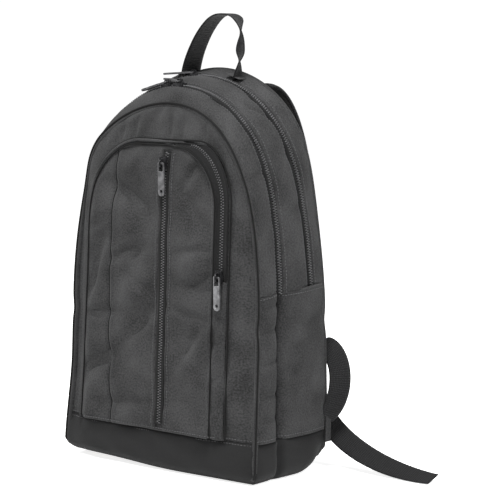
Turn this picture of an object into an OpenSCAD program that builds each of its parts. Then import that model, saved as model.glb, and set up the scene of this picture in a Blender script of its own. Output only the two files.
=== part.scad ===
// School backpack: two zipped compartments, a front pocket, a grab handle and two shoulder straps.
// Origin: centre of the base on the ground. +Z up, the front faces -Y, the back panel faces +Y.

/* [Body] */
// Half of the body's width at its straight sides
half_w = 143; // [135:1:150]
// Depth of the body at the base
base_depth = 130; // [126:1:136]
// Height of the front panel's arch
front_apex = 404; // [398:1:408]
// Height of the arch at the front compartment's zip
front_zip_apex = 422; // [418:1:424]
// Height of the arch at the main compartment's zip
main_zip_apex = 433; // [430:1:436]
// Height of the arch at the back panel
back_apex = 441; // [439:1:444]
// Radius of the arches
arch_r = 130; // [128:1:132]
// Thickness of a padded fabric panel
panel_t = 3; // [2.5:0.1:3]
// Height of the seam between the base boot and the body
boot_h = 46; // [42:1:50]
// Height at which the two arch zips end
zip_end_z = 206; // [200:1:212]

/* [Pocket] */
// Left edge of the front pocket
pocket_left = -108; // [-112:1:-104]
// Right edge of the front pocket
pocket_right = 105; // [102:1:108]
// Top edge of the front pocket
pocket_top = 363; // [358:1:366]
// Across position of the vertical zip in the pocket
centre_x = 14; // [8:1:18]

/* [Straps] */
// Width of the narrow webbing
webbing_w = 25; // [20:1:26]
// Width of the grab handle's webbing
handle_w = 34; // [28:1:36]
// Greatest width of a padded shoulder strap
strap_w = 60; // [50:1:62]
// Thickness of a padded shoulder strap
strap_t = 11; // [9:1:12]

/* [Hidden] */

gap = 0.15;                       // clearance between neighbouring panels
far = 600;                        // larger than anything in the part
side_z = 180;                     // the straight sides end here
arc_half = 62;                    // the true arc spans this many degrees each side of the apex
front_y = -base_depth / 2;        // front face at the base
back_y = base_depth / 2;          // back face at the base
front_slope = 0.03;               // the front leans back by this much per mm of height
front_bend_z = 330;               // the front curves back above this height
front_bend = 0.0023;
zip_w = 10;                       // visible width of a zip
front_zip_y = -23;                // plane of the front compartment's zip
main_zip_y0 = 47.5;               // plane of the main zip at z = 0
main_lean = atan(0.0746);         // the main zip's plane leans forward
back_lean = atan(0.044);          // the back panel leans forward
back_t = 6;                       // thickness of the padded back panel
pivot_h = 6.1;                    // height of a puller's cross pin above the tape
puller_drop = 9;                  // a left puller on an arch lies this many degrees below the tangent
puller_rise = 3;                  // a right puller rises over its neighbour by this many degrees
puller_skew = 22;                 // and passes it at this angle
front_meet = -4;                  // degrees from the apex where the front zip's sliders meet
main_meet = -9.4;
slider_half = 3.9;                // half of the angle between two meeting sliders
pocket_proud = 9;                 // the pocket stands this far out of the front panel
centre_top = 350;                 // ends of the vertical zip
centre_bottom = 55;
centre_slider_z = 340;
pocket_slider_x = 96;
pocket_slider_z = 222;

// ---- Outlines ----

// Half an arch, from the straight side up to the apex, as (x, z) points
function arch_half(apex, inset) =
    let (zc = apex - arch_r, r = arch_r - inset, w = half_w - inset,
         ex = r * sin(arc_half), ez = zc + r * cos(arc_half), cz = ez - (w - ex) * tan(arc_half))
    concat(
        [for (t = [0 : 0.2 : 0.8]) [
            pow(1 - t, 2) * w + 2 * t * (1 - t) * w + t * t * ex,
            pow(1 - t, 2) * side_z + 2 * t * (1 - t) * cz + t * t * ez]],
        [for (a = [arc_half : -arc_half / 8 : 0.01]) [r * sin(a), zc + r * cos(a)]]);

function mirrored(points) = [for (i = [len(points) - 1 : -1 : 0]) [-points[i][0], points[i][1]]];

function arch_points(apex, inset, z0) =
    let (side = arch_half(apex, inset), w = half_w - inset, top = [0, apex - inset])
    concat([[w, z0]], side, [top], mirrored(side), [[-w, z0]]);

function ellipse_corner(cx, cz, rx, rz, from, to) =
    [for (i = [0 : 8]) let (a = from + (to - from) * i / 8) [cx + rx * cos(a), cz + rz * sin(a)]];

// Outline of the front pocket: a wide left corner and a tighter right corner
function pocket_points(inset) =
    let (l = pocket_left + inset, r = pocket_right - inset, t = pocket_top - inset)
    concat(
        [[r, boot_h + gap]],
        ellipse_corner(pocket_right - 48, pocket_top - 65, 48 - inset, 65 - inset, 0, 90),
        ellipse_corner(pocket_left + 80, pocket_top - 105, 80 - inset, 105 - inset, 90, 180),
        [[l, boot_h + gap]]);

// Front face in side view
function front_at(z) = front_y + front_slope * z + front_bend * pow(max(0, z - front_bend_z), 2);

// ---- Construction helpers ----

module upright(y0, y1) {
    translate([0, y1, 0]) rotate([90, 0, 0]) linear_extrude(y1 - y0) children();
}

module arch_slab(apex, inset, y0, y1, z0 = 0) {
    upright(y0, y1) polygon(arch_points(apex, inset, z0));
}

// A layer that follows the front face, from depth a to depth b behind it
module sheet(a, b) {
    zs = concat([0], [for (z = [front_bend_z : 20 : 460]) z]);
    rotate([90, 0, 90]) translate([0, 0, -far / 2]) linear_extrude(far)
        polygon(concat(
            [for (z = zs) [front_at(z) + a, z]],
            [for (i = [len(zs) - 1 : -1 : 0]) [front_at(zs[i]) + b, zs[i]]]));
}

// A flat outline laid on the front face, between depths a and b
module on_sheet(a, b) {
    intersection() {
        upright(-far / 2, far / 2) children();
        sheet(a, b);
    }
}

module behind_front(depth) {
    difference() {
        children();
        sheet(-far, depth);
    }
}

module main_plane() {
    translate([0, main_zip_y0, 0]) rotate([main_lean, 0, 0]) children();
}

module back_plane() {
    translate([0, back_y, 0]) rotate([back_lean, 0, 0]) children();
}

module in_front_of_back() {
    difference() {
        children();
        back_plane() translate([-far / 2, -back_t - gap, -far / 2]) cube([far, far, 2 * far]);
    }
}

module z_band(z0, z1) {
    intersection() {
        children();
        translate([-far / 2, -far / 2, z0]) cube([far, far, z1 - z0]);
    }
}

// A strip through points, with a direction of width and a width at each point
module ribbon(points, dirs, widths, t) {
    for (i = [0 : len(points) - 2])
        hull()
            for (j = [i, i + 1], s = [-0.5, 0.5])
                translate(points[j] + s * (widths[j] - t) * dirs[j] / norm(dirs[j]))
                    cube(t, center = true);
}

function bezier(p, t) = pow(1 - t, 3) * p[0] + 3 * t * pow(1 - t, 2) * p[1]
    + 3 * t * t * (1 - t) * p[2] + pow(t, 3) * p[3];

function steps(from, to, n) = [for (i = [0 : n]) from + (to - from) * i / n];

// ---- Front compartment ----

module front_panel() {
    color("#3b3b3c") on_sheet(0, panel_t)
        polygon(arch_points(front_apex, panel_t + gap, boot_h + gap));
}

// A band round an arch, between two heights of inset
module arch_band(apex, y0, y1) {
    z_band(zip_end_z + gap, far)
        difference() {
            arch_slab(apex, 0, y0, y1);
            arch_slab(apex, panel_t, y0 - 1, y1 + 1, -1);
        }
}

module front_gusset_upper() {
    color("#444446") behind_front(panel_t + gap)
        arch_band((front_apex + front_zip_apex) / 2, front_y, front_zip_y - zip_w / 2);
}

module front_gusset_lower_right() {
    color("#3f3f41") behind_front(panel_t + gap)
        translate([half_w - panel_t, front_y, boot_h + gap])
            cube([panel_t, front_zip_y - front_y - gap, zip_end_z - boot_h - gap]);
}

module front_gusset_lower_left() {
    mirror([1, 0, 0]) front_gusset_lower_right();
}

module zip_ring(apex, y0, y1) {
    z_band(zip_end_z + gap, far)
        difference() {
            arch_slab(apex, 0.5, y0, y1);
            arch_slab(apex, panel_t, y0 - 1, y1 + 1, -1);
        }
}

module front_zip() {
    color("#1c1c1e")
        zip_ring(front_zip_apex, front_zip_y - zip_w / 2 + gap, front_zip_y + zip_w / 2 - gap);
}

module front_piping() {
    color("#29292b") on_sheet(-1.5, panel_t)
        difference() {
            polygon(arch_points(front_apex, -1.5, panel_t + gap));
            polygon(arch_points(front_apex, panel_t, 0));
        }
}

// ---- Main compartment ----

module divider_panel() {
    inside = panel_t + gap;
    color("#2c2c2e") arch_slab(front_zip_apex, inside, front_zip_y + zip_w / 2 + gap,
        front_zip_y + zip_w / 2 + gap + 2.5, 6);
}

module main_gusset_front() {
    color("#444446")
        difference() {
            arch_band((front_zip_apex + main_zip_apex) / 2, front_zip_y + zip_w / 2, back_y);
            main_plane() translate([-far / 2, -zip_w / 2 - gap, -far / 2]) cube([far, far, 2 * far]);
        }
}

module main_gusset_lower_right() {
    color("#3f3f41") in_front_of_back()
        translate([half_w - panel_t, front_zip_y + gap, boot_h + gap])
            cube([panel_t, far, zip_end_z - boot_h - gap]);
}

module main_gusset_lower_left() {
    mirror([1, 0, 0]) main_gusset_lower_right();
}

module main_zip() {
    color("#1c1c1e") z_band(zip_end_z + gap, far) main_plane()
        difference() {
            arch_slab(main_zip_apex, 0.5, -zip_w / 2, zip_w / 2);
            arch_slab(main_zip_apex, panel_t, -zip_w, zip_w, -1);
        }
}

module main_gusset_back() {
    color("#444446") in_front_of_back()
        difference() {
            arch_band(main_zip_apex + 4, -back_y, back_y);
            main_plane() translate([-far / 2, -far, -far / 2]) cube([far, far + zip_w / 2 + gap, 2 * far]);
        }
}

module back_panel() {
    color("#2e2e30") back_plane() arch_slab(back_apex, 0, -back_t, 0, panel_t + 3);
}

// Two foam pads beside an open channel down the spine
module back_pads() {
    pad_w = 73;
    pad_h = 285;
    corner = 24;
    color("#262628") back_plane()
        for (x = [-18 - pad_w, 18])
            upright(gap, 9) translate([x, 70])
                hull() for (cx = [corner, pad_w - corner], cz = [corner, pad_h - corner])
                    translate([cx, cz]) circle(corner, $fn = 32);
}

// ---- Base ----

module boot_front() {
    color("#2b2b2d") on_sheet(0, panel_t)
        translate([-half_w + panel_t + gap, panel_t + gap])
            square([2 * (half_w - panel_t - gap), boot_h - panel_t - 2 * gap]);
}

module boot_side_right() {
    color("#2b2b2d") in_front_of_back() behind_front(panel_t + gap)
        translate([half_w - panel_t, front_y, panel_t + gap])
            cube([panel_t, far, boot_h - panel_t - 2 * gap]);
}

module boot_side_left() {
    mirror([1, 0, 0]) boot_side_right();
}

module boot_bottom() {
    color("#232325") translate([-half_w, front_y, 0]) cube([2 * half_w, base_depth, panel_t]);
}

// Stiff board that keeps the bottom flat
module base_board() {
    edge = 7;
    color("#8a7f6a") translate([-half_w + edge, front_y + edge, panel_t + gap])
        cube([2 * (half_w - edge), base_depth - 2.5 * edge, 2]);
}

// ---- Front pocket ----

module pocket_area(inset) {
    polygon(pocket_points(inset));
}

// Band at the pocket's right side and top-right corner that holds the curved zip
module zip_band() {
    difference() {
        pocket_area(panel_t);
        pocket_area(17);
        translate([-far, 0]) square([far + 30, far]);
    }
}

module pocket_panel() {
    slot_w = 10;
    color("#3d3d3f") on_sheet(-pocket_proud, -pocket_proud + 2.5)
        difference() {
            pocket_area(panel_t + gap);
            offset(delta = gap) zip_band();
            translate([centre_x - slot_w / 2, centre_bottom]) square([slot_w, centre_top - centre_bottom]);
        }
}

module pocket_strip() {
    color("#323234") on_sheet(-7.5, -5)
        intersection() {
            zip_band();
            square([far, pocket_slider_z - 6 - gap]);
        }
}

module pocket_zip() {
    color("#1c1c1e") on_sheet(-7, -5)
        intersection() {
            zip_band();
            translate([0, pocket_slider_z - 6]) square([far, far]);
        }
}

// Piped edge round the pocket's left side and top
module pocket_welt() {
    color("#29292b") on_sheet(-8, -gap)
        difference() {
            pocket_area(0);
            pocket_area(panel_t);
            translate([30, 0]) square([far, far]);
        }
}

module centre_zip() {
    tape_w = 9.6;
    color("#1c1c1e") on_sheet(-pocket_proud + 0.5, -pocket_proud + 2)
        translate([centre_x - tape_w / 2, centre_bottom + gap])
            square([tape_w, centre_top - centre_bottom - 2 * gap]);
}

// ---- Sliders and pullers ----
// Local frame: X along the zip, Z out of the bag; the puller lies towards -X.

module slider() {
    base_z = 0.4;
    body_h = 3.5;
    bridge_w = 1.8;
    color("#141415") {
        translate([0, 0, base_z]) linear_extrude(body_h)
            polygon([[-7, -3.8], [0, -3.8], [4.5, -4.8], [7, -4], [7, 4], [4.5, 4.8], [0, 3.8], [-7, 3.8]]);
        translate([0, bridge_w / 2, 0]) rotate([90, 0, 0]) linear_extrude(bridge_w)
            difference() {
                polygon([[-5.5, base_z + body_h - 0.5], [-3.6, 8.2], [-2, 9], [2, 9], [3.6, 8.2],
                    [5.5, base_z + body_h - 0.5]]);
                translate([0, pivot_h]) circle(1.8, $fn = 24);
            }
    }
}

// drop: degrees below the zip's tangent; skew: degrees to one side
module puller(drop, skew) {
    plate_l = 27;
    plate_w = 8.6;
    plate_t = 1.9;
    arm_l = 9;
    arm_w = 1.3;
    arm_y = plate_w / 2 - arm_w;
    color("#9a9a9c") translate([0, 0, pivot_h]) rotate([0, -drop, 0]) {
        rotate([90, 0, 0]) cylinder(h = 2 * arm_y + arm_w, r = 0.9, center = true, $fn = 24);
        rotate([0, 0, skew]) {
            for (s = [-1, 1])
                translate([-arm_l, s * (arm_y + arm_w / 2) - arm_w / 2, -0.75]) cube([arm_l, arm_w, 1.5]);
            difference() {
                union() {
                    translate([-arm_l - plate_l + plate_w / 2, -plate_w / 2, -plate_t / 2])
                        cube([plate_l - plate_w / 2, plate_w, plate_t]);
                    translate([-arm_l - plate_l + plate_w / 2, 0, 0])
                        cylinder(h = plate_t, r = plate_w / 2, center = true, $fn = 32);
                }
                translate([-arm_l - plate_l + plate_w / 2 + 1, 0, 0])
                    cylinder(h = 2 * plate_t, r = 1.9, center = true, $fn = 24);
            }
        }
    }
}

module at_front_face(x, z, depth) {
    translate([x, front_at(z) - depth, z]) rotate([-atan(front_slope), 0, 0])
        rotate([0, -90, 90]) children();
}

module at_centre_slider() { at_front_face(centre_x, centre_slider_z, pocket_proud) children(); }
module at_pocket_slider() { at_front_face(pocket_slider_x, pocket_slider_z, 7.5) children(); }

module on_arch(apex, angle) {
    translate([0, 0, apex - arch_r]) rotate([0, angle, 0]) translate([0, 0, arch_r]) children();
}

module at_front_arch(angle) {
    translate([0, front_zip_y, 0]) on_arch(front_zip_apex, angle) children();
}

module at_main_arch(angle) { main_plane() on_arch(main_zip_apex, angle) children(); }

module centre_slider() { at_centre_slider() slider(); }
module centre_puller() { at_centre_slider() puller(4, 0); }
module pocket_slider() { at_pocket_slider() slider(); }
module pocket_puller() { at_pocket_slider() puller(4, 0); }
module front_slider_left() { at_front_arch(front_meet - slider_half) slider(); }
module front_slider_right() { at_front_arch(front_meet + slider_half) slider(); }
module front_puller_left() { at_front_arch(front_meet - slider_half) puller(puller_drop, 6); }
module front_puller_right() { at_front_arch(front_meet + slider_half) puller(-puller_rise, -puller_skew); }
module main_slider_left() { at_main_arch(main_meet - slider_half) slider(); }
module main_slider_right() { at_main_arch(main_meet + slider_half) slider(); }
module main_puller_left() { at_main_arch(main_meet - slider_half) puller(puller_drop, 0); }
module main_puller_right() { at_main_arch(main_meet + slider_half) puller(-puller_rise, puller_skew); }

// ---- Handle ----

handle_x = 36;                    // half of the distance between the handle's legs
handle_y = 35;
handle_low = 455;                 // the loop swings above this height
handle_top = 502;

module handle_half(grow) {
    leg = handle_low - 10;
    ellipse_h = handle_top - handle_low - 3 + grow;
    intersection() {
        translate([0, handle_low]) resize([2 * (handle_x + grow), 2 * ellipse_h]) circle(50, $fn = 64);
        translate([-far / 2, handle_low]) square([far, far]);
    }
    translate([-handle_x - grow, leg]) square([2 * (handle_x + grow), handle_low - leg + 0.01]);
}

module grab_handle() {
    color("#1a1a1b") z_band(handle_low, far)
        upright(handle_y - handle_w / 2, handle_y + handle_w / 2)
            difference() {
                handle_half(1.5);
                handle_half(-1.5);
            }
}

// Reinforcing tabs that hold the handle's ends on the top of the bag
module handle_tabs() {
    tab_w = 22;
    tab_l = 16;
    tab_y = 22;
    color("#1a1a1b")
        for (s = [-1, 1])
            on_arch(main_zip_apex + 4, s * asin(handle_x / arch_r))
                translate([-tab_w / 2, tab_y, gap]) cube([tab_w, tab_l, 2]);
}

// Panel across the top of the back that the straps are sewn into
module strap_yoke() {
    color("#1f1f21") back_plane() upright(gap, 3)
        translate([-88, 372]) square([176, 30]);
}

// ---- Shoulder straps ----

strap_path = [[52, 50, 418], [60, 105, 420], [88, 100, 270], [112, 72, 152]];
strap_dir = [1, 0, 0.22];
strap_start = 0.18;               // the padded part starts here, clear of the yoke
lock_centre = [115.5, 67.9, 133.2];
loop_path = [[119, 65.5, 116.5], [150, 74, 124], [182, 72, 94], [148, 57, 64]];
tail_path = [[116, 80, 128], [92, 82, 36], [200, 78, 5], [274, 82, 5]];
left_tail_path = [[116, 80, 128], [120, 90, 30], [128, 112, 5], [138, 180, 3]];

module shoulder_strap_right() {
    n = 7;
    ts = steps(strap_start, 1, n);
    widths = [for (t = ts) strap_w * (0.62 + 0.38 * sin(180 * min(1, (t - strap_start) * 1.05 + 0.12)))];
    color("#1a1a1c") ribbon([for (t = ts) bezier(strap_path, t)], [for (t = ts) strap_dir], widths, strap_t);
}

module shoulder_strap_left() {
    mirror([1, 0, 0]) shoulder_strap_right();
}

// Plastic ladder lock with two slots
module strap_lock_right() {
    lock_w = 34;
    lock_h = 23;
    lock_t = 4;
    color("#111112") translate(lock_centre) rotate([-13.4, -11.3, 0])
        upright(-lock_t / 2, lock_t / 2)
            difference() {
                translate([-lock_w / 2, -lock_h / 2]) square([lock_w, lock_h]);
                for (z = [-8, 3])
                    translate([-webbing_w / 2 - 0.5, z]) square([webbing_w + 1, 5]);
            }
}

module strap_lock_left() {
    mirror([1, 0, 0]) strap_lock_right();
}

module lower_webbing_right() {
    ts = steps(0, 1, 7);
    color("#1b1b1c") ribbon([for (t = ts) bezier(loop_path, t)],
        [for (t = ts) (1 - t) * [1, 0, 0.22] + t * [-0.3, 1, 0]], [for (t = ts) webbing_w], 2);
}

module lower_webbing_left() {
    mirror([1, 0, 0]) lower_webbing_right();
}

module webbing_tail_right() {
    ts = steps(0, 1, 7);
    color("#1b1b1c") ribbon([for (t = ts) bezier(tail_path, t)],
        [for (t = ts) (1 - t) * [0.7 * (1 - t), 0, 1] + t * [0.2, 0.93, 0.28]],
        [for (t = ts) webbing_w], 2);
}

module webbing_tail_left() {
    ts = steps(0, 1, 7);
    color("#1b1b1c") mirror([1, 0, 0]) ribbon([for (t = ts) bezier(left_tail_path, t)],
        [for (t = ts) [1, 0, 0]], [for (t = ts) webbing_w], 2);
}

// Fabric tab that anchors the webbing at the bottom corner
module corner_tab_right() {
    color("#2b2b2d") translate([half_w + gap, 43, 34]) cube([2, 26, 26]);
}

module corner_tab_left() {
    mirror([1, 0, 0]) corner_tab_right();
}

front_panel();
front_gusset_upper();
front_gusset_lower_left();
front_gusset_lower_right();
front_zip();
divider_panel();
main_gusset_front();
main_gusset_lower_left();
main_gusset_lower_right();
main_zip();
main_gusset_back();
back_panel();
back_pads();
boot_front();
boot_side_left();
boot_side_right();
boot_bottom();
base_board();
front_piping();
pocket_panel();
pocket_strip();
pocket_welt();
pocket_zip();
pocket_slider();
pocket_puller();
centre_zip();
centre_slider();
centre_puller();
front_slider_left();
front_slider_right();
front_puller_left();
front_puller_right();
main_slider_left();
main_slider_right();
main_puller_left();
main_puller_right();
grab_handle();
handle_tabs();
strap_yoke();
shoulder_strap_left();
shoulder_strap_right();
strap_lock_left();
strap_lock_right();
lower_webbing_left();
lower_webbing_right();
webbing_tail_left();
webbing_tail_right();
corner_tab_left();
corner_tab_right();
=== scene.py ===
import math

import bpy
import numpy as np
from mathutils import Matrix, Vector


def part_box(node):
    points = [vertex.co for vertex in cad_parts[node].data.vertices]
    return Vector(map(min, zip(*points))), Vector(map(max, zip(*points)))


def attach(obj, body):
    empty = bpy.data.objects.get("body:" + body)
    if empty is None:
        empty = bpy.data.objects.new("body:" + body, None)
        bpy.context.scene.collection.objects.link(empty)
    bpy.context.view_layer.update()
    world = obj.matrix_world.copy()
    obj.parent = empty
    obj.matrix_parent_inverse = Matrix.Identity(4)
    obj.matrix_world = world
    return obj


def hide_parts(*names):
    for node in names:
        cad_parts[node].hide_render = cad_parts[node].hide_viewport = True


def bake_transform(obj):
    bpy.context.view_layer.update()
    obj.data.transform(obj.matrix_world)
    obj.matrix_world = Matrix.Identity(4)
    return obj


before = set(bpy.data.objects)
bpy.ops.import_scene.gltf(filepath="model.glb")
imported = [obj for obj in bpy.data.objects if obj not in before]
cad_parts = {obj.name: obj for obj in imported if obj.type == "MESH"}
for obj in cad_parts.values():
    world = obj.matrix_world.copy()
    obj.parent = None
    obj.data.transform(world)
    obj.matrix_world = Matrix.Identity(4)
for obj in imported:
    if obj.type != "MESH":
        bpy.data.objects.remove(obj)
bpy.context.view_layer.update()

MM = 0.001

# ---- Sizes of the bag, in millimetres, as the CAD frame holds them ----

BASE_LOW, BASE_HIGH = (c * 1000 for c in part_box("boot_bottom"))
HALF_W = BASE_HIGH.x
FRONT_Y = BASE_LOW.y
BACK_Y = BASE_HIGH.y
BOOT_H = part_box("front_panel")[0].z * 1000
ZIP_END_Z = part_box("front_zip")[0].z * 1000
FRONT_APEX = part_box("front_panel")[1].z * 1000 + 3.2
ZIP_1_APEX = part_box("front_zip")[1].z * 1000 + 0.5
ZIP_2_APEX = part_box("main_zip")[1].z * 1000 + 1.0
BACK_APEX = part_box("back_panel")[1].z * 1000 + 0.5
ZIP_1_Y = sum(c.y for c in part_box("front_zip")) * 500
ARCH_R = 130.0
SIDE_Z = 180.0
ARC_HALF = math.radians(62)
ARC_END = 0.285
CURVE_END = 0.64
ARCH_LENGTH = 496
FRONT_SLOPE = 0.03
FRONT_BEND_Z = 330.0
FRONT_BEND = 0.0023
MAIN_Y0 = 47.5
MAIN_SLOPE = 0.0746
BACK_SLOPE = 0.044
POCKET_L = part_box("pocket_welt")[0].x * 1000
POCKET_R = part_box("pocket_zip")[1].x * 1000 + 0.5
POCKET_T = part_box("pocket_welt")[1].z * 1000
CENTRE_X = sum(c.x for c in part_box("centre_zip")) * 500
CENTRE_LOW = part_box("centre_zip")[0].z * 1000
CENTRE_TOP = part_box("centre_zip")[1].z * 1000
ZIP_HALF = 5.0


# ---- Materials ----

def new_material(name, colour, rough, sheen=0.0, metal=0.0):
    mat = bpy.data.materials.new(name)
    mat.use_nodes = True
    shader = mat.node_tree.nodes["Principled BSDF"]
    shader.inputs["Base Color"].default_value = (*colour, 1)
    shader.inputs["Roughness"].default_value = rough
    shader.inputs["Metallic"].default_value = metal
    shader.inputs["Sheen Weight"].default_value = sheen
    shader.inputs["Sheen Roughness"].default_value = 0.6
    shader.inputs["Specular IOR Level"].default_value = 0.5 if metal > 0 or rough < 0.5 else 0.09
    return mat, mat.node_tree, shader


def math_node(tree, kind, a, b):
    node = tree.nodes.new("ShaderNodeMath")
    node.operation = kind
    for i, value in enumerate((a, b)):
        if isinstance(value, (int, float)):
            node.inputs[i].default_value = value
        elif value is not None:
            tree.links.new(value, node.inputs[i])
    return node.outputs[0]


def wave(tree, coords, scale, direction):
    node = tree.nodes.new("ShaderNodeTexWave")
    node.wave_type = "BANDS"
    node.bands_direction = direction
    node.inputs["Scale"].default_value = scale
    tree.links.new(coords, node.inputs["Vector"])
    return node.outputs["Fac"]


def noise(tree, coords, scale, detail):
    node = tree.nodes.new("ShaderNodeTexNoise")
    node.inputs["Scale"].default_value = scale
    node.inputs["Detail"].default_value = detail
    tree.links.new(coords, node.inputs["Vector"])
    return node.outputs["Fac"]


def tint(tree, shader, factor, low, high, dark, light):
    """Colours the surface from dark to light as the factor goes from low to high."""
    node = tree.nodes.new("ShaderNodeValToRGB")
    node.color_ramp.elements[0].position = low
    node.color_ramp.elements[1].position = high
    node.color_ramp.elements[0].color = (*dark, 1)
    node.color_ramp.elements[1].color = (*light, 1)
    tree.links.new(factor, node.inputs["Fac"])
    tree.links.new(node.outputs["Color"], shader.inputs["Base Color"])


def bump(tree, shader, height, strength, distance, rounded=0.0):
    """Surface relief; rounded softens the look of sharp edges by that radius in metres."""
    node = tree.nodes.new("ShaderNodeBump")
    if rounded > 0:
        edge = tree.nodes.new("ShaderNodeBevel")
        edge.inputs["Radius"].default_value = rounded
        tree.links.new(edge.outputs["Normal"], node.inputs["Normal"])
    node.inputs["Strength"].default_value = strength
    node.inputs["Distance"].default_value = distance
    tree.links.new(height, node.inputs["Height"])
    tree.links.new(node.outputs["Normal"], shader.inputs["Normal"])


def woven(name, colour, rough=0.85, pitch=0.0011, strength=0.6, mottle=0.2):
    """Plain-weave fabric: crossed yarns from the UV map, in metres, with slubs and mottling."""
    mat, tree, shader = new_material(name, colour, rough, 0.05)
    coords = tree.nodes.new("ShaderNodeTexCoord").outputs["UV"]
    turns = 0.31 / pitch
    warp = wave(tree, coords, turns, "X")
    weft = wave(tree, coords, turns, "Y")
    cloth = math_node(tree, "MULTIPLY", warp, weft)
    slub = noise(tree, coords, 520, 3)
    patch = noise(tree, coords, 22, 4)
    height = math_node(tree, "ADD", cloth, slub)
    tone = math_node(tree, "ADD", math_node(tree, "MULTIPLY", slub, 0.55),
                     math_node(tree, "MULTIPLY", patch, 0.45))
    tone = math_node(tree, "ADD", tone, math_node(tree, "MULTIPLY", cloth, 0.12))
    dark = tuple(c * (1 - mottle * 2) for c in colour)
    light = tuple(c * (1 + mottle * 2) for c in colour)
    tint(tree, shader, tone, 0.4, 0.66, dark, light)
    bump(tree, shader, height, strength, 0.0004)
    return mat


def webbing_material(name, colour):
    """Ribbed webbing: cross ribs with fine lengthwise yarns; U runs along the strap."""
    mat, tree, shader = new_material(name, colour, 0.62, 0.06)
    coords = tree.nodes.new("ShaderNodeTexCoord").outputs["UV"]
    along = wave(tree, coords, 0.31 / 0.0024, "X")
    across = wave(tree, coords, 0.31 / 0.0017, "Y")
    rib = math_node(tree, "MULTIPLY", along, across)
    slub = noise(tree, coords, 700, 2)
    tone = math_node(tree, "ADD", math_node(tree, "MULTIPLY", rib, 0.6),
                     math_node(tree, "MULTIPLY", slub, 0.5))
    dark = tuple(c * 0.45 for c in colour)
    light = tuple(c * 1.9 for c in colour)
    tint(tree, shader, tone, 0.15, 0.85, dark, light)
    bump(tree, shader, math_node(tree, "ADD", rib, slub), 0.7, 0.0007)
    return mat


def mesh_material(name, colour):
    """Spacer mesh: round cells in a dark knit."""
    mat, tree, shader = new_material(name, colour, 0.9, 0.05)
    coords = tree.nodes.new("ShaderNodeTexCoord").outputs["UV"]
    cell = tree.nodes.new("ShaderNodeTexVoronoi")
    cell.inputs["Scale"].default_value = 330
    cell.inputs["Randomness"].default_value = 0.15
    tree.links.new(coords, cell.inputs["Vector"])
    dark = tuple(c * 0.3 for c in colour)
    light = tuple(c * 1.5 for c in colour)
    tint(tree, shader, cell.outputs["Distance"], 0.2, 0.6, dark, light)
    bump(tree, shader, cell.outputs["Distance"], 0.8, 0.0009)
    return mat


def hard_material(name, colour, rough, metal, wear):
    """Enamelled metal or moulded plastic with fine scratches and lighter worn spots."""
    mat, tree, shader = new_material(name, colour, rough, 0.0, metal)
    coords = tree.nodes.new("ShaderNodeTexCoord").outputs["Object"]
    grain = noise(tree, coords, 1400, 3)
    patch = noise(tree, coords, 160, 4)
    light = tuple(min(1, c * wear + 0.01) for c in colour)
    tint(tree, shader, patch, 0.42, 0.75, colour, light)
    spread = tree.nodes.new("ShaderNodeMapRange")
    spread.inputs["To Min"].default_value = rough * 0.75
    spread.inputs["To Max"].default_value = min(1.0, rough * 1.3)
    tree.links.new(patch, spread.inputs["Value"])
    tree.links.new(spread.outputs["Result"], shader.inputs["Roughness"])
    bump(tree, shader, grain, 0.15, 0.0002, rounded=0.0005)
    return mat


BODY = woven("body_cloth", (0.0275, 0.0275, 0.028), mottle=0.3)
BOOT = woven("boot_cloth", (0.0085, 0.0085, 0.0087), rough=0.75, pitch=0.0008, strength=0.25, mottle=0.08)
STRIP = woven("strip_cloth", (0.0275, 0.0275, 0.028), mottle=0.3)
CORD = woven("seam_cord", (0.0045, 0.0045, 0.0045), rough=0.85, strength=0.3)
TAPE = woven("zip_tape", (0.0065, 0.0065, 0.0067), rough=0.9, pitch=0.0009, strength=0.5)
COIL = hard_material("nylon_coil", (0.05, 0.05, 0.052), 0.45, 0.0, 1.8)
THREAD = hard_material("thread", (0.075, 0.075, 0.077), 0.7, 0.0, 1.3)
THREAD_DARK = hard_material("thread_dark", (0.06, 0.06, 0.062), 0.75, 0.0, 1.3)
WEB = webbing_material("webbing", (0.0095, 0.0095, 0.01))
PAD = woven("strap_cloth", (0.006, 0.006, 0.006), rough=0.85)
MESH = mesh_material("spacer_mesh", (0.012, 0.012, 0.013))
LINE = woven("seam_shadow", (0.0035, 0.0035, 0.0035), rough=0.9, strength=0.3)
BLACK = hard_material("slider_enamel", (0.012, 0.012, 0.013), 0.35, 0.6, 3.0)
GREY = hard_material("puller_enamel", (0.09, 0.09, 0.093), 0.3, 0.6, 2.5)
PLASTIC = hard_material("lock_plastic", (0.012, 0.012, 0.013), 0.45, 0.0, 1.5)


# ---- Mesh helpers ----

def smooth(t):
    t = np.clip(t, 0, 1)
    return t * t * (3 - 2 * t)


def hill(x, width):
    return np.exp(-(x / width) ** 2)


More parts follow.
